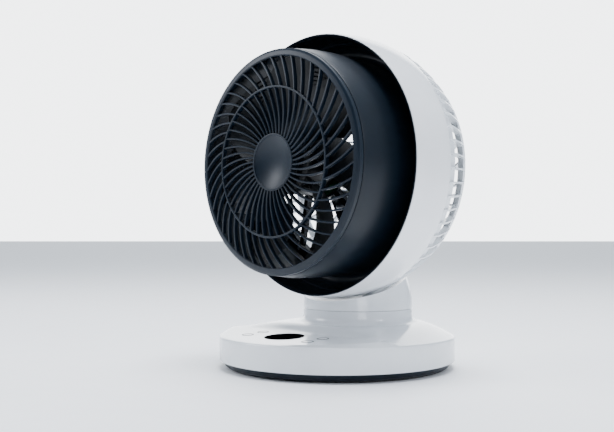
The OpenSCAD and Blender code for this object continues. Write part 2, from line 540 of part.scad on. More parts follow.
module tilt_sector() color(pom) difference() {
  intersection() {
    yz(arm_hw + 7.4 + 2, arm_hw + 15.4) pivot_pt() rotate(-90 + arm_a) polygon(gear_pts(ts_m, ts_z));
    yz(arm_hw + 5, arm_hw + 16) pivot_pt() union() {
      circle(r = 13);
      rotate(-90 + arm_a) polygon([[0, 0], [40*cos(46), -40*sin(46)], [44, 0], [40*cos(46), 40*sin(46)]]);
    }
  }
  yz(arm_hw + 5, arm_hw + 16) pivot_pt() circle(r = 7.2);
}

// ------------------------------------------------ fan motor and impeller
rot_x = mp_x + 9;
module driver_board() color(green) head() {
  tube(34, 11.2, mp_x + 4.6, mp_x + 6.2);
  for (a = [20, 140, 260]) rotate([0, 0, a]) translate([29, -2, mp_x + 6.2 - e]) cube([4, 4, 1.6]);
}
module motor_stator() color(steel) head() {
  tube(14, 10.7, mp_x + 13, mp_x + 27);
  polar(9, 0) translate([13, -1.6, mp_x + 16]) cube([stator_r - 14.2, 3.2, 8]);
  polar(9, 0) translate([14.4, -2.9, mp_x + 14.4]) cube([4.6, 5.8, 11.2]);
  difference() {
    tube(stator_r, stator_r - 2.4, mp_x + 16, mp_x + 24);
    polar(9, 0, 20) translate([15, -0.7, mp_x + 10]) cube([12, 1.4, 20]);
  }
}
module motor_bearings() color(steel) head() for (x = [mp_x + 6, mp_x + 22]) tube(6, shaft_r + run_fit, x,
    x + 4);
module motor_shaft() color(steel) head() translate([0, 0, mp_x + 4.5]) cylinder(r = shaft_r, h = 60.5,
    $fn = 48);
module motor_rotor() color(black) head() difference() {
  translate([0, 0, rot_x]) cylinder(r = 28, h = 24);
  translate([0, 0, rot_x - 1]) cylinder(r = 26, h = 22.5);
  translate([0, 0, rot_x]) cylinder(r = shaft_r + 0.02, h = 40, $fn = 48);
}
module rotor_magnets() color(steel) head() tube(25.95, stator_r + 0.7, mp_x + 13, mp_x + 27);
blade_x = 53;
tip_r = drum_r - 2.2 - tip_gap;
function blade_pt(r, s, side) = let(f = (r - 30)/(tip_r - 30), a0 = -34*f*f + 6*f, da = mix(50, 43, f),
    a = a0 + da*(s - 0.5),
  z = blade_x + blade_h*(s - 0.5)*(1 - 0.12*f) + 3.2*sin(180*s)*(0.4 + 0.6*f) + side*mix(1.3, 0.8, f))
  [r*cos(a), r*sin(a), z];
bn = 8;
bm = 7;
module blade() let(rr = [for (i = [0:bn]) 30.8 + (tip_r - 30.8)*i/bn])
  polyhedron(points = [for (side = [1, -1]) for (i = [0:bn]) for (j = [0:bm]) blade_pt(rr[i], j/bm, side)],
    faces = concat(
      [for (i = [0:bn - 1]) for (j = [0:bm - 1]) for (f = [0, 1]) let(a = i*(bm + 1) + j, b = a + bm + 1)
        f == 0 ? [a, b + 1, b] : [a, a + 1, b + 1]],
      [for (i = [0:bn - 1]) for (j = [0:bm - 1]) for (f = [0, 1])
        let(a = (bn + 1)*(bm + 1) + i*(bm + 1) + j, b = a + bm + 1) f == 0 ? [a, b, b + 1] : [a, b + 1,
            a + 1]],
      [for (j = [0:bm - 1]) for (f = [0, 1]) let(a = j, b = (bn + 1)*(bm + 1) + j) f == 0 ? [a, b,
          b + 1] : [a, b + 1, a + 1]],
      [for (j = [0:bm - 1]) for (f = [0, 1]) let(a = bn*(bm + 1) + j, b = (bn + 1)*(bm + 1) + bn*(bm + 1)
          + j)
        f == 0 ? [a, b + 1, b] : [a, a + 1, b + 1]],
      [for (i = [0:bn - 1]) for (f = [0, 1]) let(a = i*(bm + 1), b = (bn + 1)*(bm + 1) + i*(bm + 1))
        f == 0 ? [a, b + bm + 1, b] : [a, a + bm + 1, b + bm + 1]],
      [for (i = [0:bn - 1]) for (f = [0, 1]) let(a = i*(bm + 1) + bm, b = (bn + 1)*(bm + 1) + i*(bm + 1)
          + bm)
        f == 0 ? [a, b, b + bm + 1] : [a, b + bm + 1, a + bm + 1]]), convexity = 6);
module impeller() color(dark) head() {
  rotate_extrude() polygon([[shaft_r + 0.02, 60], [8, 60], [9, 66], [29.8, 66], [29.8, 34], [32.2, 34],
      [32.2, 64],
    [30.6, 68], [26, 70.4], [18, 71.6], [shaft_r + 0.02, 72]]);
  for (i = [0:blades - 1]) rotate([0, 0, i*360/blades]) blade();
}
module impeller_nut() color(steel) head() difference() {
  translate([0, 0, 72.1]) cylinder(r = 6, h = 5, $fn = 6);
  translate([0, 0, 70]) cylinder(r = shaft_r + 0.02, h = 10, $fn = 48);
}

base_pan();
foot_pads();
ballast_plate();
ballast_screws();
base_cover();
display_window();
touch_rings();
display_board();
display_screws();
power_board();
board_screws();
cord_grommet();
base_screws();
swivel_motor();
swivel_motor_screws();
bearing_ring();
turntable();
retainer_ring();
swivel_gear();
turntable_screws();
neck_shell();
neck_screws();
tilt_arm();
arm_screws();
arm_bush();
tilt_motor();
swivel_pinion();
tilt_pinion();
outer_ring();
front_shroud();
front_grille();
hub_dish();
rear_grille();
rear_cap();
motor_mount();
mount_screws();
grille_screws();
tilt_axle();
axle_clips();
tilt_sector();
motor_stator();
motor_bearings();
driver_board();
impeller();
motor_rotor();
rotor_magnets();
motor_shaft();
impeller_nut();
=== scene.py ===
"""Desk air circulator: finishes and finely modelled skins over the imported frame."""

import json
import logging
import math
from dataclasses import dataclass, field
from enum import Enum

import bmesh
import bpy
from mathutils import Matrix, Vector


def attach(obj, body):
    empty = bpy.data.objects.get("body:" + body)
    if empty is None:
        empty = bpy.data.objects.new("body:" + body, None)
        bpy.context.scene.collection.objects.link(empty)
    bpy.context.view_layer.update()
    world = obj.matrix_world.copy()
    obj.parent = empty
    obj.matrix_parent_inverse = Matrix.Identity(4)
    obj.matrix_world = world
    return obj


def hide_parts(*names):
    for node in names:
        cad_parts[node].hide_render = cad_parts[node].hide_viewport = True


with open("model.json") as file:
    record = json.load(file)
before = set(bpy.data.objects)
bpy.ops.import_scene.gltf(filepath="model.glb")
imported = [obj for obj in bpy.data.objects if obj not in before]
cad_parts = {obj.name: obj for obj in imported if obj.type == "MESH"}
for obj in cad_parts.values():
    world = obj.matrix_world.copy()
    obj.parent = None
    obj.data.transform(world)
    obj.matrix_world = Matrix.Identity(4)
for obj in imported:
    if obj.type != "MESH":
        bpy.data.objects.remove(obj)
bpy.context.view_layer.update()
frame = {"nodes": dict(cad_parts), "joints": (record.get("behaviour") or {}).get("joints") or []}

log = logging.getLogger("circulator")
MM = 0.001

Station = list[Vector]
Profile = list[tuple[float, float]]


class Texture(Enum):
    """How the surface of a moulded or machined piece was finished."""

    POLISHED = "polished"
    SPARKED = "sparked"
    TURNED = "turned"
    CAST = "cast"


def linear(code: str) -> tuple[float, float, float, float]:
    """Turns an sRGB hex colour into linear light.

    Args:
        code: six hex digits after a hash mark.

    Returns:
        Red, green, blue and an alpha of one.
    """
    parts = [int(code[i : i + 2], 16) / 255 for i in (1, 3, 5)]
    lin = [p / 12.92 if p <= 0.04045 else ((p + 0.055) / 1.055) ** 2.4 for p in parts]
    return (lin[0], lin[1], lin[2], 1.0)


def add_node(
    tree: bpy.types.NodeTree,
    kind: str,
    settings: dict[str, object] | None = None,
    inputs: dict[str, object] | None = None,
) -> bpy.types.Node:
    """Adds a shader node with its settings and links.

    Args:
        tree: the material's node tree.
        kind: the node's type name, such as ShaderNodeBump.
        settings: attributes to set on the node.
        inputs: input name to a value, or to the output socket that feeds it.

    Returns:
        The new node.
    """
    node = tree.nodes.new(kind)
    for key, value in (settings or {}).items():
        setattr(node, key, value)
    for key, value in (inputs or {}).items():
        if isinstance(value, bpy.types.NodeSocket):
            tree.links.new(value, node.inputs[key])
        else:
            node.inputs[key].default_value = value
    return node


@dataclass(frozen=True)
class Finish:
    """One real finish: its colour, gloss and the grain that the eye reads on it."""

    name: str
    colour: str
    shade: str
    roughness: float
    texture: Texture
    grain_mm: float = 0.9
    depth_mm: float = 0.02
    metallic: float = 0.0
    ior: float = 1.5
    coat: float = 0.0
    coat_roughness: float = 0.08
    rough_spread: float = 0.06

    def material(self) -> bpy.types.Material:
        """Builds the node material, or returns the one already made.

        Returns:
            The material.
        """
        found = bpy.data.materials.get(self.name)
        if found:
            return found
        mat = bpy.data.materials.new(self.name)
        mat.use_nodes = True
        mat.diffuse_color = linear(self.colour)
        tree = mat.node_tree
        tree.nodes.clear()
        coords = add_node(tree, "ShaderNodeTexCoord").outputs["Object"]
        stretch = (1.0, 1.0, 12.0) if self.texture is Texture.TURNED else (1.0, 1.0, 1.0)
        placed = add_node(tree, "ShaderNodeMapping", None, {"Vector": coords, "Scale": stretch})
        grain = self._grain(tree, placed.outputs["Vector"])
        cloud = add_node(
            tree, "ShaderNodeTexNoise", None, {"Vector": coords, "Scale": 1 / (38 * MM), "Detail": 3.0}
        ).outputs["Fac"]
        tone = add_node(tree, "ShaderNodeValToRGB", None, {"Fac": cloud})
        tone.color_ramp.elements[0].color = linear(self.shade)
        tone.color_ramp.elements[1].color = linear(self.colour)
        tone.color_ramp.elements[0].position = 0.3
        tone.color_ramp.elements[1].position = 0.62
        rough = add_node(
            tree,
            "ShaderNodeMapRange",
            None,
            {
                "Value": grain,
                "To Min": max(0.02, self.roughness - self.rough_spread),
                "To Max": min(1.0, self.roughness + self.rough_spread),
            },
        )
        bump = add_node(
            tree,
            "ShaderNodeBump",
            None,
            {"Height": grain, "Strength": 0.35, "Distance": self.depth_mm * MM},
        )
        shader = add_node(
            tree,
            "ShaderNodeBsdfPrincipled",
            None,
            {
                "Base Color": tone.outputs["Color"],
                "Roughness": rough.outputs["Result"],
                "Normal": bump.outputs["Normal"],
                "Metallic": self.metallic,
                "IOR": self.ior,
                "Coat Weight": self.coat,
                "Coat Roughness": self.coat_roughness,
            },
        )
        add_node(tree, "ShaderNodeOutputMaterial", None, {"Surface": shader.outputs["BSDF"]})
        return mat

    def _grain(self, tree: bpy.types.NodeTree, vector: bpy.types.NodeSocket) -> bpy.types.NodeSocket:
        """Adds the grain pattern at its real size.

        Args:
            tree: the material's node tree.
            vector: the coordinates that the pattern reads.

        Returns:
            The output that carries the grain's height.
        """
        scale = 1 / (self.grain_mm * MM)
        if self.texture is Texture.CAST:
            cells = add_node(tree, "ShaderNodeTexVoronoi", None, {"Vector": vector, "Scale": scale})
            return cells.outputs["Distance"]
        detail = 6.0 if self.texture is Texture.SPARKED else 2.0
        noise = add_node(
            tree,
            "ShaderNodeTexNoise",
            None,
            {"Vector": vector, "Scale": scale, "Detail": detail, "Roughness": 0.6},
        )
        return noise.outputs["Fac"]

    def dress(self, obj: bpy.types.Object) -> None:
        """Puts this finish on every material slot of a piece."""
        mat = self.material()
        if not obj.data.materials:
            obj.data.materials.append(mat)
        for i in range(len(obj.data.materials)):
            obj.data.materials[i] = mat


# Acrylonitrile butadiene styrene off a finely sparked mould: glossy, with a slightly soft highlight.
WHITE_ABS = Finish("white_abs_satin", "#e9edf0", "#e3e7eb", 0.17, Texture.SPARKED, 1.1, 0.008, coat=0.35)
# The same plastic off a polished mould: a clear, mirror-like highlight.
GLOSS_ABS = Finish("white_abs_polished", "#f3f5f7", "#eef0f3", 0.09, Texture.POLISHED, 9.0, 0.01, coat=0.5)
# Navy-black ABS, sparked: satin, it lifts to slate where the light grazes it.
NAVY_ABS = Finish("navy_abs_satin", "#08131d", "#060f18", 0.4, Texture.SPARKED, 1.0, 0.035, ior=1.34)
# The same navy on the thin spokes, a little smoother off the mould.
NAVY_GRILLE = Finish("navy_abs_grille", "#0b1824", "#08131d", 0.38, Texture.SPARKED, 0.8, 0.02, ior=1.34)
# Glass-filled blades, darker and slightly duller.
BLADE_ABS = Finish("blade_abs", "#070c11", "#05090d", 0.4, Texture.SPARKED, 1.4, 0.03)
# Smoked acrylic window: almost black, and it throws back no light.
WINDOW = Finish("smoked_acrylic", "#020305", "#010203", 0.1, Texture.POLISHED, 20.0, 0.003, ior=1.0)
# Natural rubber feet and grommet: matt, slightly grey.
RUBBER = Finish("moulded_rubber", "#16181a", "#101214", 0.78, Texture.SPARKED, 1.6, 0.06)
# Zinc-plated steel screws, motors and rings.
ZINC = Finish("zinc_plate", "#c3c6c9", "#a9adb2", 0.3, Texture.TURNED, 0.9, 0.012, metallic=1.0)
# Acetal gears and bushes: waxy off-white.
ACETAL = Finish("natural_acetal", "#ebe8dd", "#e3dfd2", 0.34, Texture.POLISHED, 3.0, 0.02, ior=1.48)
# Solder mask over copper.
BOARD = Finish("solder_mask", "#12482f", "#0c3a25", 0.32, Texture.POLISHED, 2.4, 0.02, coat=0.3)
# As-cast iron ballast.
IRON = Finish("cast_iron_plate", "#4a4b4d", "#38393b", 0.6, Texture.CAST, 2.2, 0.12, metallic=1.0)
# Black passivated steel of the rotor cup and the bonded magnets in it.
BLACKENED = Finish(
    "black_passivated_steel", "#2a2c2f", "#1f2124", 0.35, Texture.TURNED, 1.2, 0.015, metallic=1.0
)
# Grey pad print of the touch outlines.
PRINT = Finish("grey_print", "#141b22", "#10161c", 0.6, Texture.POLISHED, 4.0, 0.004, ior=1.05)

CARRIED: dict[str, Finish] = {
    "base_pan": NAVY_ABS,
    "foot_pads": RUBBER,
    "ballast_plate": IRON,
    "ballast_screws": ZINC,
    "base_cover": WHITE_ABS,
    "display_window": WINDOW,
    "touch_rings": PRINT,
    "display_board": BOARD,
    "display_screws": ZINC,
    "power_board": BOARD,
    "board_screws": ZINC,
    "cord_grommet": RUBBER,
    "base_screws": ZINC,
    "swivel_motor": ZINC,
    "swivel_motor_screws": ZINC,
    "bearing_ring": ACETAL,
    "turntable": NAVY_ABS,
    "retainer_ring": ZINC,
    "swivel_gear": ACETAL,
    "turntable_screws": ZINC,
    "neck_shell": WHITE_ABS,
    "neck_screws": ZINC,
    "tilt_arm": NAVY_ABS,
    "arm_screws": ZINC,
    "arm_bush": ACETAL,
    "tilt_motor": ZINC,
    "swivel_pinion": ACETAL,
    "tilt_pinion": ACETAL,
    "outer_ring": GLOSS_ABS,
    "front_shroud": NAVY_ABS,
    "front_grille": NAVY_GRILLE,
    "hub_dish": NAVY_GRILLE,
    "rear_grille": WHITE_ABS,
    "rear_cap": WHITE_ABS,
    "motor_mount": NAVY_ABS,
    "mount_screws": ZINC,
    "grille_screws": ZINC,
    "tilt_axle": ZINC,
    "axle_clips": BLACKENED,
    "tilt_sector": ACETAL,
    "motor_stator": ZINC,
    "motor_bearings": ZINC,
    "driver_board": BOARD,
    "impeller": BLADE_ABS,
    "motor_rotor": BLACKENED,
    "rotor_magnets": BLACKENED,
    "motor_shaft": ZINC,
    "impeller_nut": ZINC,
}


def rounded(corners: Profile, radius: float, steps: int = 4) -> Profile:
    """Rounds the corners of a closed outline with short arcs.

    Args:
        corners: the outline's corners, in millimetres.
        radius: the fillet radius in millimetres, cut short on short sides.
        steps: the number of pieces in each arc.

    Returns:
        The outline with its arcs.
    """
    out: Profile = []
    count = len(corners)
    for i, corner in enumerate(corners):
        here = Vector(corner)
        before = Vector(corners[i - 1]) - here
        after = Vector(corners[(i + 1) % count]) - here
        turn = before.angle(after)
        if turn > math.radians(176):
            out.append(corner)
            continue
        cut = min(radius / math.tan(turn / 2), 0.45 * before.length, 0.45 * after.length)
        start, end = here + before.normalized() * cut, here + after.normalized() * cut
        for k in range(steps + 1):
            f = k / steps
            point = start * (1 - f) ** 2 + here * 2 * f * (1 - f) + end * f**2
            out.append((point.x, point.y))
    return out


def finish_mesh(bm: bmesh.types.BMesh, name: str, sharp: float = 34.0) -> bpy.types.Object:
    """Makes a smooth-shaded object of a finished bmesh.

    Args:
        bm: the mesh, in metres, which is freed.
        name: the new object's name.
        sharp: the angle in degrees past which an edge stays crisp.

    Returns:
        The object, at the origin.
    """
    mesh = bpy.data.meshes.new(name)
    bm.to_mesh(mesh)
    bm.free()
    mesh.shade_smooth()
    mesh.set_sharp_from_angle(angle=math.radians(sharp))
    obj = bpy.data.objects.new(name, mesh)
    bpy.context.scene.collection.objects.link(obj)
    return obj


def hand_over(
    obj: bpy.types.Object, body: str, finish: Finish, slot: str, *nodes: str
) -> bpy.types.Object:
    """Dresses a piece, puts it on its body and lets it stand for its nodes.

    Args:
        obj: the finished piece.
        body: the body that it moves with.
        finish: its finish.
        slot: the record's slot that the finish stands in; not used.
        nodes: the plain nodes that it replaces.

    Returns:
        The piece.
    """
    finish.dress(obj)
    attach(obj, body)
    if nodes:
        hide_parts(*nodes)
    log.info("%s: %d faces on %s", obj.name, len(obj.data.polygons), body)
    return obj


def swept(bm: bmesh.types.BMesh, stations: list[Station]) -> None:
    """Extrudes a closed section along a run of stations.

    Args:
        bm: the mesh to add to.
        stations: the section's points at each stop, all in the same order.
    """
    face = bm.faces.new([bm.verts.new(p) for p in stations[0]])
    for station in stations[1:]:
        grown = bmesh.ops.extrude_face_region(bm, geom=[face])["geom"]
        face = next(f for f in grown if isinstance(f, bmesh.types.BMFace))
        for loop, point in zip(face.loops, station):
            loop.vert.co = point


def smooth_step(low: float, high: float, value: float) -> float:
    """Rises from 0 at low to 1 at high with level ends."""
    t = min(1.0, max(0.0, (value - low) / (high - low)))
    return t * t * (3 - 2 * t)


@dataclass
class BallHead:
    """The round head: white ring, trough and drum, grilles, hub and rear basket."""

    centre: Vector = field(default_factory=Vector)
    ball_r: float = 143.0
    band_front: float = 29.4
    band_rear: float = 24.0
    band_wall: float = 1.8
    drum_r: float = 118.0
    grille_x: float = 86.0
    spokes: int = 45
    spoke_w: float = 1.9
    mid_r: float = 77.0
    hub_r: float = 29.6
    lip_r: float = 138.0
    steps: int = 192

    def at(self, radius: float, angle: float, forward: float) -> Vector:
        """Places a point given in the head's own measures.

        Args:
            radius: millimetres from the head's axis.
            angle: radians round the axis from +X, towards the top.
            forward: millimetres in front of the ball's centre.

        Returns:
            The point in metres.
        """
        return self.centre + Vector(
            (radius * math.cos(angle) * MM, -forward * MM, radius * math.sin(angle) * MM)
        )

    def spun(self, profile: Profile, closed: bool = True) -> bmesh.types.BMesh:
        """Turns an outline of radius and forward distance about the head's axis.

        Args:
            profile: the outline, in millimetres.
            closed: whether its last point joins its first.

        Returns:
            The turned mesh, with its faces outwards.
        """
        bm = bmesh.new()
        verts = [bm.verts.new(self.at(r, 0.0, x)) for r, x in profile]
        pairs = list(zip(verts, verts[1:])) + ([(verts[-1], verts[0])] if closed else [])
        edges = [bm.edges.new(p) for p in pairs]
        bmesh.ops.spin(
            bm,
            geom=verts + edges,
            cent=self.centre,
            axis=(0.0, -1.0, 0.0),
            dvec=(0.0, 0.0, 0.0),
            angle=2 * math.pi,
            steps=self.steps,
            use_merge=True,
            use_duplicate=False,
        )
        bmesh.ops.remove_doubles(bm, verts=bm.verts, dist=0.002 * MM)
        bmesh.ops.recalc_face_normals(bm, faces=bm.faces)
        return bm

    def repeated(self, bm: bmesh.types.BMesh, count: int) -> None:
        """Copies what a mesh holds round the head's axis.

        Args:
            bm: the mesh.
            count: how many there are in the whole turn.
        """
        bmesh.ops.spin(
            bm,
            geom=bm.verts[:] + bm.edges[:] + bm.faces[:],
            cent=self.centre,
            axis=(0.0, -1.0, 0.0),
            dvec=(0.0, 0.0, 0.0),
            angle=2 * math.pi * (count - 1) / count,
            steps=count - 1,
            use_merge=False,
            use_duplicate=True,
        )
        bmesh.ops.recalc_face_normals(bm, faces=bm.faces)

    def sphere_r(self, radius: float, forward: float) -> float:
        """Radius of a ball's section at a distance in front of its centre."""
        return math.sqrt(radius**2 - forward**2)

    def ring(self) -> bpy.types.Object:
        """The glossy white ring, its edges eased.

        Returns:
            The piece.
        """
        inner = self.ball_r - self.band_wall
        stops = 14
        xs = [
            -self.band_rear + (self.band_front + self.band_rear) * k / stops for k in range(stops + 1)
        ]
        outer = [(self.sphere_r(self.ball_r, x), x) for x in xs]
        within = [(self.sphere_r(inner, x), x) for x in reversed(xs)]
        return finish_mesh(self.spun(rounded(outer + within, 0.7)), "white_ring")

    def shroud(self) -> bpy.types.Object:
        """The dark lining of the ring, the trough and the drum in one sweep.

        Returns:
            The piece.
        """
        lip = self.band_front - 0.9
        d, b = self.drum_r, self.ball_r
        edge = self.sphere_r(b, self.band_front)
        face = [
            (edge - 0.5, self.band_front + 0.2),
            (edge - 0.5, self.band_front + 1.0),
            (edge - 1.1, self.band_front + 1.3),
            (self.sphere_r(b - self.band_wall, lip) - 1.2, lip),
            (b - 5.6, 15.0),
            (b - 6.6, 3.0),
            (b - 7.2, -4.0),
            (b - 9.6, -6.0),
            (b - 11.5, -14.0),
            (b - 16.0, -19.0),
            (d + 4.0, -20.0),
            (d + 0.4, -16.0),
            (d, 0.0),
            (d + 1.4, 20.0),
            (d + 2.0, 40.0),
            (d + 1.4, 58.0),
            (d, 72.0),
            (d - 1.2, self.grille_x - 6.0),
        ]
        back = [
            (d - 3.2, self.grille_x - 6.0),
            (d - 2.0, 72.0),
            (d - 0.8, 58.0),
            (d - 0.2, 40.0),
            (d - 0.8, 20.0),
            (d - 2.2, 0.0),
            (d - 2.2, -18.4),
            (d - 14.0, -18.4),
            (d - 14.0, -22.2),
            (b - 15.0, -22.2),
            (b - 9.4, -15.0),
            (b - 7.4, -8.0),
            (b - 4.8, -6.0),
            (b - 4.4, 3.0),
            (b - 3.5, 15.0),
            (self.sphere_r(b - self.band_wall - 0.2, lip - 4.0) - 0.4, lip - 4.0),
            (self.sphere_r(b - self.band_wall - 0.2, self.band_front), self.band_front),
        ]
        return finish_mesh(self.spun(rounded(face + back, 14.0, 5)), "shroud_and_drum")

    def dome(self, radius: float) -> float:
        """How far forward the face of the front grille stands at a radius."""
        rim, mid, hub = self.grille_x + 0.6, self.grille_x + 5.7, self.grille_x + 3.4
        if radius > self.mid_r:
            f = (radius - self.mid_r) / (self.drum_r - 8.2 - self.mid_r)
            return mid + (rim - mid) * f**1.6
        f = (self.mid_r - radius) / (self.mid_r - self.hub_r)
        return mid + (hub - mid) * f**1.8

    def spoke(self, r0: float, r1: float, lean0: float, lean1: float, steps: int) -> list[Station]:
        """One curved grille spoke that leans over as it goes out.

        Args:
            r0: inner radius in millimetres.
            r1: outer radius in millimetres.
            lean0: lean from the radial direction at r0, in degrees.
            lean1: lean at r1, in degrees.
            steps: number of stops.

        Returns:
            The stations of the spoke.
        """
        out: list[Station] = []
        half, deep, ease = self.spoke_w / 2, 4.6, 0.55
        section = [
            (-half, -deep),
            (half, -deep),
            (half, -ease),
            (half - ease, 0.0),
            (-half + ease, 0.0),
            (-half, -ease),
        ]
        span = math.log(r1 / r0)
        for k in range(steps + 1):
            f = k / steps
            radius = r0 * (r1 / r0) ** f
            lean = math.radians(lean0 + (lean1 - lean0) * f)
            angle = math.radians((lean0 * f + (lean1 - lean0) * f * f / 2) * span * 1.08)
            side = Vector((math.sin(angle + lean), 0.0, -math.cos(angle + lean)))
            base = self.at(radius, angle, self.dome(radius))
            out.append([base - side * w * MM - Vector((0.0, h * MM, 0.0)) for w, h in section])
        return out

    def grille(self) -> bpy.types.Object:
        """The domed front grille with its rim, rings and two rows of spokes.

        Returns:
            The piece.
        """
        ro, ri, g = self.drum_r - 1.5, self.drum_r - 8.2, self.grille_x
        bm = bmesh.new()
        swept(bm, self.spoke(self.mid_r, ri + 0.4, 28.0, 42.0, 10))
        swept(bm, self.spoke(self.hub_r - 1.2, self.mid_r, 4.0, 22.0, 12))
        self.repeated(bm, self.spokes)
        rim = [(ro, g - 1), (ro - 2.4, g + 0.2), (ri, g + 1), (ri - 1.2, g), (ri - 1.2, g - 5.5)]
        rim += [(ri, g - 5.5), (ri + 0.6, g - 3.5), (ro - 2.2, g - 5.6), (ro, g - 5.6)]
        mid_in, mid_out, mid = self.mid_r - 1.1, self.mid_r + 1.1, self.dome(self.mid_r)
        hub_in, hub = self.hub_r - 2.6, self.dome(self.hub_r)
        back = g - 5.5
        rings = [
            rounded(rim, 0.6, 3),
            rounded([(mid_in, mid - 5), (mid_out, mid - 5), (mid_out, mid + 0.4), (mid_in, mid + 0.4)], 0.7),
            rounded([(hub_in, back), (self.hub_r, back), (self.hub_r, hub + 0.5), (hub_in, hub + 0.5)], 0.8),
        ]
        for outline in rings:
            part = self.spun(outline)
            scratch = bpy.data.meshes.new("ring")
            part.to_mesh(scratch)
            part.free()
            bm.from_mesh(scratch)
            bpy.data.meshes.remove(scratch)
        return finish_mesh(bm, "front_grille_skin")

    def dish(self) -> bpy.types.Object:
        """The hub's concave bowl.

        Returns:
            The piece.
        """
        rim, deep, floor_x, stops = self.hub_r - 2.55, 6.0, self.grille_x - 3.0, 16
        bowl_r = (rim**2 + deep**2) / (2 * deep)
        bowl = [
            (rim * k / stops, floor_x + bowl_r - math.sqrt(bowl_r**2 - (rim * k / stops) ** 2))
            for k in range(stops + 1)
        ]
        outline = bowl + [(rim, floor_x - 1.0), (0.0, floor_x - 1.0)]
        return finish_mesh(self.spun(outline, closed=False), "hub_bowl", 40.0)

    def build(self) -> None:
        """Builds the head's pieces and hands each to its body."""
        hand_over(self.ring(), "head", GLOSS_ABS, "gloss_white_abs", "outer_ring")
        hand_over(self.shroud(), "head", NAVY_ABS, "dark_abs", "front_shroud")
        hand_over(self.grille(), "head", NAVY_GRILLE, "dark_abs", "front_grille")
        hand_over(self.dish(), "head", NAVY_GRILLE, "dark_abs", "hub_dish")


@dataclass
class Impeller:
    """The swept blades on their hub."""

    head: BallHead
    blades: int = 7
    root_r: float = 30.8
    tip_r: float = 111.8
    blade_x: float = 53.0
    blade_h: float = 32.0

    def point(self, radius: float, s: float, side: float) -> Vector:
        """A point of the blade.

        Args:
            radius: millimetres from the axis.
            s: place along the chord, 0 to 1.
            side: 1 on the front skin and -1 on the rear one.

        Returns:
            The point in metres.
        """
        f = (radius - 30.0) / (self.tip_r - 30.0)
        sweep = -34.0 * f * f + 6.0 * f
        span = 50.0 - 7.0 * f
        thick = (1.3 - 0.5 * f) * math.sin(math.pi * (0.12 + 0.76 * s)) ** 0.5
        forward = self.blade_x + self.blade_h * (s - 0.5) * (1 - 0.12 * f)
        forward += 3.2 * math.sin(math.pi * s) * (0.4 + 0.6 * f) + side * thick
        return self.head.at(radius, math.radians(sweep + span * (s - 0.5)), forward)

    def build(self) -> None:
        """Builds the impeller as one piece on the rotor."""
        bm = bmesh.new()
        stops, chord = 18, 16
        stations: list[Station] = []
        for i in range(stops + 1):
            radius = self.root_r + (self.tip_r - self.root_r) * i / stops
            front = [self.point(radius, j / chord, 1.0) for j in range(chord + 1)]
            rear = [self.point(radius, j / chord, -1.0) for j in range(chord, -1, -1)]
            stations.append(front + rear)
        swept(bm, stations)
        self.head.repeated(bm, self.blades)
        hub = [(3.02, 60.0), (8.0, 60.0), (9.0, 66.0), (29.8, 66.0), (29.8, 34.0), (32.2, 34.0), (32.2, 64.0)]
        hub += [(30.6, 68.0), (26.0, 70.4), (18.0, 71.6), (3.02, 72.0)]
        part = self.head.spun(rounded(hub, 2.0))
        scratch = bpy.data.meshes.new("hub")
        part.to_mesh(scratch)
        part.free()
        bm.from_mesh(scratch)
        bpy.data.meshes.remove(scratch)
        hand_over(finish_mesh(bm, "impeller_skin", 40.0), "rotor", BLADE_ABS, "blade_plastic", "impeller")


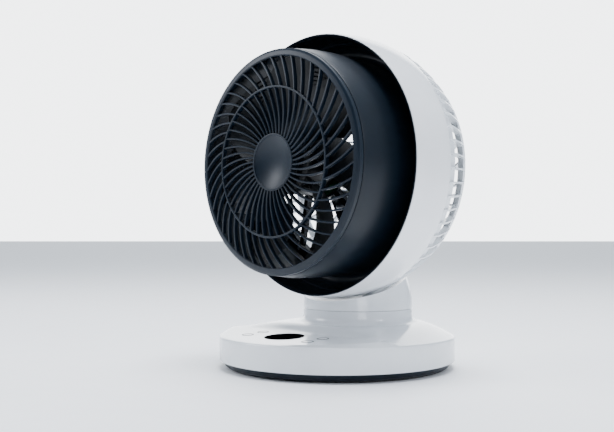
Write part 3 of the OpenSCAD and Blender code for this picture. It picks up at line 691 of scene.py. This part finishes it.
@dataclass
class Base:
    """The wide disc base with its platform, mound and collar."""

    base_r: float = 127.5
    neck_y: float = 34.8
    neck_r: float = 60.7
    seam_z: float = 61.5
    rim_z: float = 34.7
    wall: float = 2.6
    foot_z: float = 47.0
    skirt_z: float = 8.8
    window_y: float = -78.9
    window_r: float = 21.0
    turns: int = 288

    def platform(self, y: float) -> float:
        """Height of the sloped control platform."""
        return self.rim_z + 1 + (y + 118) * 3.5 / 67

    def land(self, x: float, y: float, t: float) -> float:
        """Height of the top, from the collar's foot at t 0 to the rim at t 1."""
        foot_r = self.neck_r + 8
        low = self.rim_z + 0.6
        mound = low + (self.foot_z - low) * (1 - t**1.5)
        step = smooth_step(self.neck_y - foot_r - 18, self.neck_y - foot_r, y)
        return self.platform(y) + (mound - self.platform(y)) * step

    def section(self) -> list[tuple[str, float, float]]:
        """The stops of the cover's section, outside first and then inside.

        Returns:
            For each stop its kind, its radius or fraction, and its height or drop.
        """
        n, top = 30, self.seam_z
        stops: list[tuple[str, float, float]] = []
        stops += [("collar", self.neck_r - 0.9, top), ("collar", self.neck_r - 0.25, top - 0.25)]
        stops += [("collar", self.neck_r, top - 0.9)]
        stops += [("fillet", k / 8, 0.0) for k in range(9)]
        stops += [("land", (k / n) ** 1.3, 0.0) for k in range(n)]
        arc = [(self.base_r - 2.4 + 2.4 * math.sin(a), self.rim_z - 2.0 + 2.4 * math.cos(a)) for a in
               (math.radians(15 * k) for k in range(0, 7))]
        stops += [("rim", r, z) for r, z in arc]
        stops += [("rim", self.base_r, self.skirt_z + 0.5), ("rim", self.base_r - 0.5, self.skirt_z)]
        inner = self.base_r - self.wall
        stops += [("rim", inner, self.skirt_z), ("rim", inner, self.rim_z - 3)]
        stops += [("under", 1 - k / 8, -self.wall) for k in range(1, 9)]
        stops += [("collar", self.neck_r - 3, top)]
        return stops

    def lay(self, stop: tuple[str, float, float], angle: float) -> Vector:
        """Places one stop of the section at an angle round the base.

        Args:
            stop: the stop's kind and its two measures.
            angle: radians round the base.

        Returns:
            The point in metres.
        """
        kind, a, b = stop
        c, s = math.cos(angle), math.sin(angle)
        foot_r = self.neck_r + 8
        if kind == "collar":
            return Vector((a * c, self.neck_y + a * s, b)) * MM
        if kind == "rim":
            return Vector((a * c, a * s, b)) * MM
        if kind == "fillet":
            turn = a * math.pi / 2
            radius = foot_r - 8 * math.cos(turn)
            foot = self.land(foot_r * c, self.neck_y + foot_r * s, 0.0)
            return Vector((radius * c, self.neck_y + radius * s, foot + 8 - 8 * math.sin(turn))) * MM
        inner = foot_r if kind == "land" else self.neck_r - 3
        outer = self.base_r - (2.4 if kind == "land" else self.wall)
        x = (inner + (outer - inner) * a) * c
        y = self.neck_y * (1 - a) + (inner + (outer - inner) * a) * s
        return Vector((x, y, self.land(x, y, a) + b)) * MM

    def cover(self) -> bpy.types.Object:
        """The white cover: a section spun round and laid over the platform and mound.

        Returns:
            The piece.
        """
        stops = self.section()
        pitch, first = 0.01, 1.0
        bm = bmesh.new()
        verts = [bm.verts.new((first + pitch * i, 0.0, 0.0)) for i in range(len(stops))]
        edges = [bm.edges.new((a, b)) for a, b in zip(verts, verts[1:])]
        bmesh.ops.spin(
            bm,
            geom=verts + edges,
            cent=(0.0, 0.0, 0.0),
            axis=(0.0, 0.0, 1.0),
            dvec=(0.0, 0.0, 0.0),
            angle=2 * math.pi,
            steps=self.turns,
            use_merge=True,
            use_duplicate=False,
        )
        ends: list[bmesh.types.BMVert] = []
        for vert in bm.verts:
            index = round((Vector(vert.co[:2]).length - first) / pitch)
            vert.co = self.lay(stops[index], math.atan2(vert.co.y, vert.co.x))
            if index in (0, len(stops) - 1):
                ends.append(vert)
        rim_edges = [e for e in bm.edges if e.is_boundary]
        bmesh.ops.bridge_loops(bm, edges=rim_edges)
        bmesh.ops.recalc_face_normals(bm, faces=bm.faces)
        return finish_mesh(bm, "base_cover_skin", 50.0)

    def window(self) -> bpy.types.Object:
        """The round smoked window with its eased edge, lying on the platform.

        Returns:
            The piece.
        """
        bm = bmesh.new()
        bmesh.ops.create_cone(
            bm,
            cap_ends=True,
            segments=160,
            radius1=self.window_r * MM,
            radius2=self.window_r * MM,
            depth=1.3 * MM,
        )
        rim = [e for e in bm.edges if all(abs(v.co.z - 0.65 * MM) < 1e-6 for v in e.verts)]
        bmesh.ops.bevel(
            bm, geom=rim, offset=0.35 * MM, segments=3, profile=0.5, affect="EDGES", material=-1
        )
        tilt = Matrix.Rotation(math.atan(3.5 / 67), 4, "X")
        place = Matrix.Translation(Vector((0.0, self.window_y, self.platform(self.window_y) - 0.35)) * MM)
        bmesh.ops.transform(bm, matrix=place @ tilt, verts=bm.verts)
        return finish_mesh(bm, "display_lens", 50.0)

    def build(self) -> None:
        """Builds the base's visible skins."""
        hand_over(self.cover(), "base", WHITE_ABS, "white_abs", "base_cover")
        hand_over(self.window(), "base", WINDOW, "black_gloss", "display_window")


@dataclass
class Studio:
    """Floor, light and camera."""

    view_point: tuple[float, float, float] = (661.5, -708.1, 140.3)
    turn: tuple[float, float, float] = (91.37, 0.0, 44.97)
    lens: float = 51.75
    backdrop: tuple[float, float, float] = (-0.69, 0.69, 0.22)
    # how squarely a direction has to face the backdrop for the light to start and to end rising
    room_edges: tuple[float, float] = (-0.5, 0.3)
    wall_edges: tuple[float, float] = (0.8, 0.92)
    dim: float = 0.04
    middle: float = 0.24
    bright: float = 0.76
    full: float = 5.0

    def camera(self) -> None:
        """Stands the camera level with the middle of the object, off its front right."""
        data = bpy.data.cameras.new("camera")
        data.lens, data.sensor_width = self.lens, 36.0
        data.clip_start, data.clip_end = 0.02, 30.0
        cam = bpy.data.objects.new("camera", data)
        cam.location = Vector(self.view_point) * MM
        cam.rotation_euler = [math.radians(a) for a in self.turn]
        bpy.context.scene.collection.objects.link(cam)
        bpy.context.scene.camera = cam

    def floor(self) -> None:
        """A wide pale floor."""
        bm = bmesh.new()
        bmesh.ops.create_grid(bm, x_segments=2, y_segments=2, size=40.0)
        obj = finish_mesh(bm, "floor")
        Finish("pale_floor", "#ffffff", "#fdfdfe", 0.7, Texture.POLISHED, 40.0, 0.0).dress(obj)

    def lamp(self, name: str, place: tuple[float, float, float], size: float, watts: float) -> None:
        """A square soft box aimed at the head.

        Args:
            name: the lamp's name.
            place: where it stands, in metres.
            size: its side in metres.
            watts: its power.
        """
        data = bpy.data.lights.new(name, "AREA")
        data.size, data.energy = size, watts
        data.color = linear("#f5f8ff")[:3]
        obj = bpy.data.objects.new(name, data)
        obj.location = place
        aim = Vector((0.0, 0.0, 0.2)) - Vector(place)
        obj.rotation_euler = aim.to_track_quat("-Z", "Y").to_euler()
        bpy.context.scene.collection.objects.link(obj)

    def room(self) -> None:
        """A bright backdrop beyond the object that falls off to a dim room in front of it."""
        world = bpy.data.worlds.new("studio_room")
        world.use_nodes = True
        tree = world.node_tree
        heading = add_node(tree, "ShaderNodeTexCoord").outputs["Generated"]
        depth = add_node(
            tree, "ShaderNodeVectorMath", {"operation": "DOT_PRODUCT"}, {0: heading, 1: self.backdrop}
        )
        half, wall = (
            add_node(
                tree,
                "ShaderNodeMapRange",
                {"interpolation_type": "SMOOTHSTEP"},
                {
                    "Value": depth.outputs["Value"],
                    "From Min": edges[0],
                    "From Max": edges[1],
                    "To Min": least,
                    "To Max": most,
                },
            ).outputs["Result"]
            for edges, least, most in (
                (self.room_edges, self.dim, self.middle),
                (self.wall_edges, 0.0, self.bright),
            )
        )
        level = add_node(tree, "ShaderNodeMath", {"operation": "ADD"}, {0: half, 1: wall})
        tint = add_node(tree, "ShaderNodeValToRGB", None, {"Fac": level.outputs["Value"]})
        tint.color_ramp.elements[0].color = linear("#b4c8de")
        tint.color_ramp.elements[1].color = linear("#f6f9fc")
        power = add_node(
            tree, "ShaderNodeMath", {"operation": "MULTIPLY"}, {0: level.outputs["Value"], 1: self.full}
        )
        sky = tree.nodes["Background"]
        tree.links.new(tint.outputs["Color"], sky.inputs["Color"])
        tree.links.new(power.outputs["Value"], sky.inputs["Strength"])
        bpy.context.scene.world = world

    def build(self) -> None:
        """Sets the camera, floor, room and lamps."""
        self.camera()
        self.floor()
        self.room()
        self.lamp("key", (-1.5, -1.3, 1.1), 0.8, 21.0)
        self.lamp("side", (1.9, 0.1, 1.1), 0.5, 13.0)
        self.lamp("top", (0.1, 0.1, 2.1), 1.0, 70.0)
        self.lamp("fill", (1.5, -1.2, 0.3), 0.6, 6.0)


def main() -> None:
    """Builds the studio and every sub-assembly, then dresses what the frame carried over."""
    Studio().build()
    for name, finish in CARRIED.items():
        finish.dress(frame["nodes"][name])
    tilt = next(j for j in frame["joints"] if j["name"] == "head_tilt")
    head = BallHead(centre=Vector(tilt["pos_m"]))
    head.build()
    Impeller(head).build()
    Base().build()


if __name__ == "__main__":
    logging.basicConfig(level=logging.INFO, format="%(name)s %(message)s")
    main()
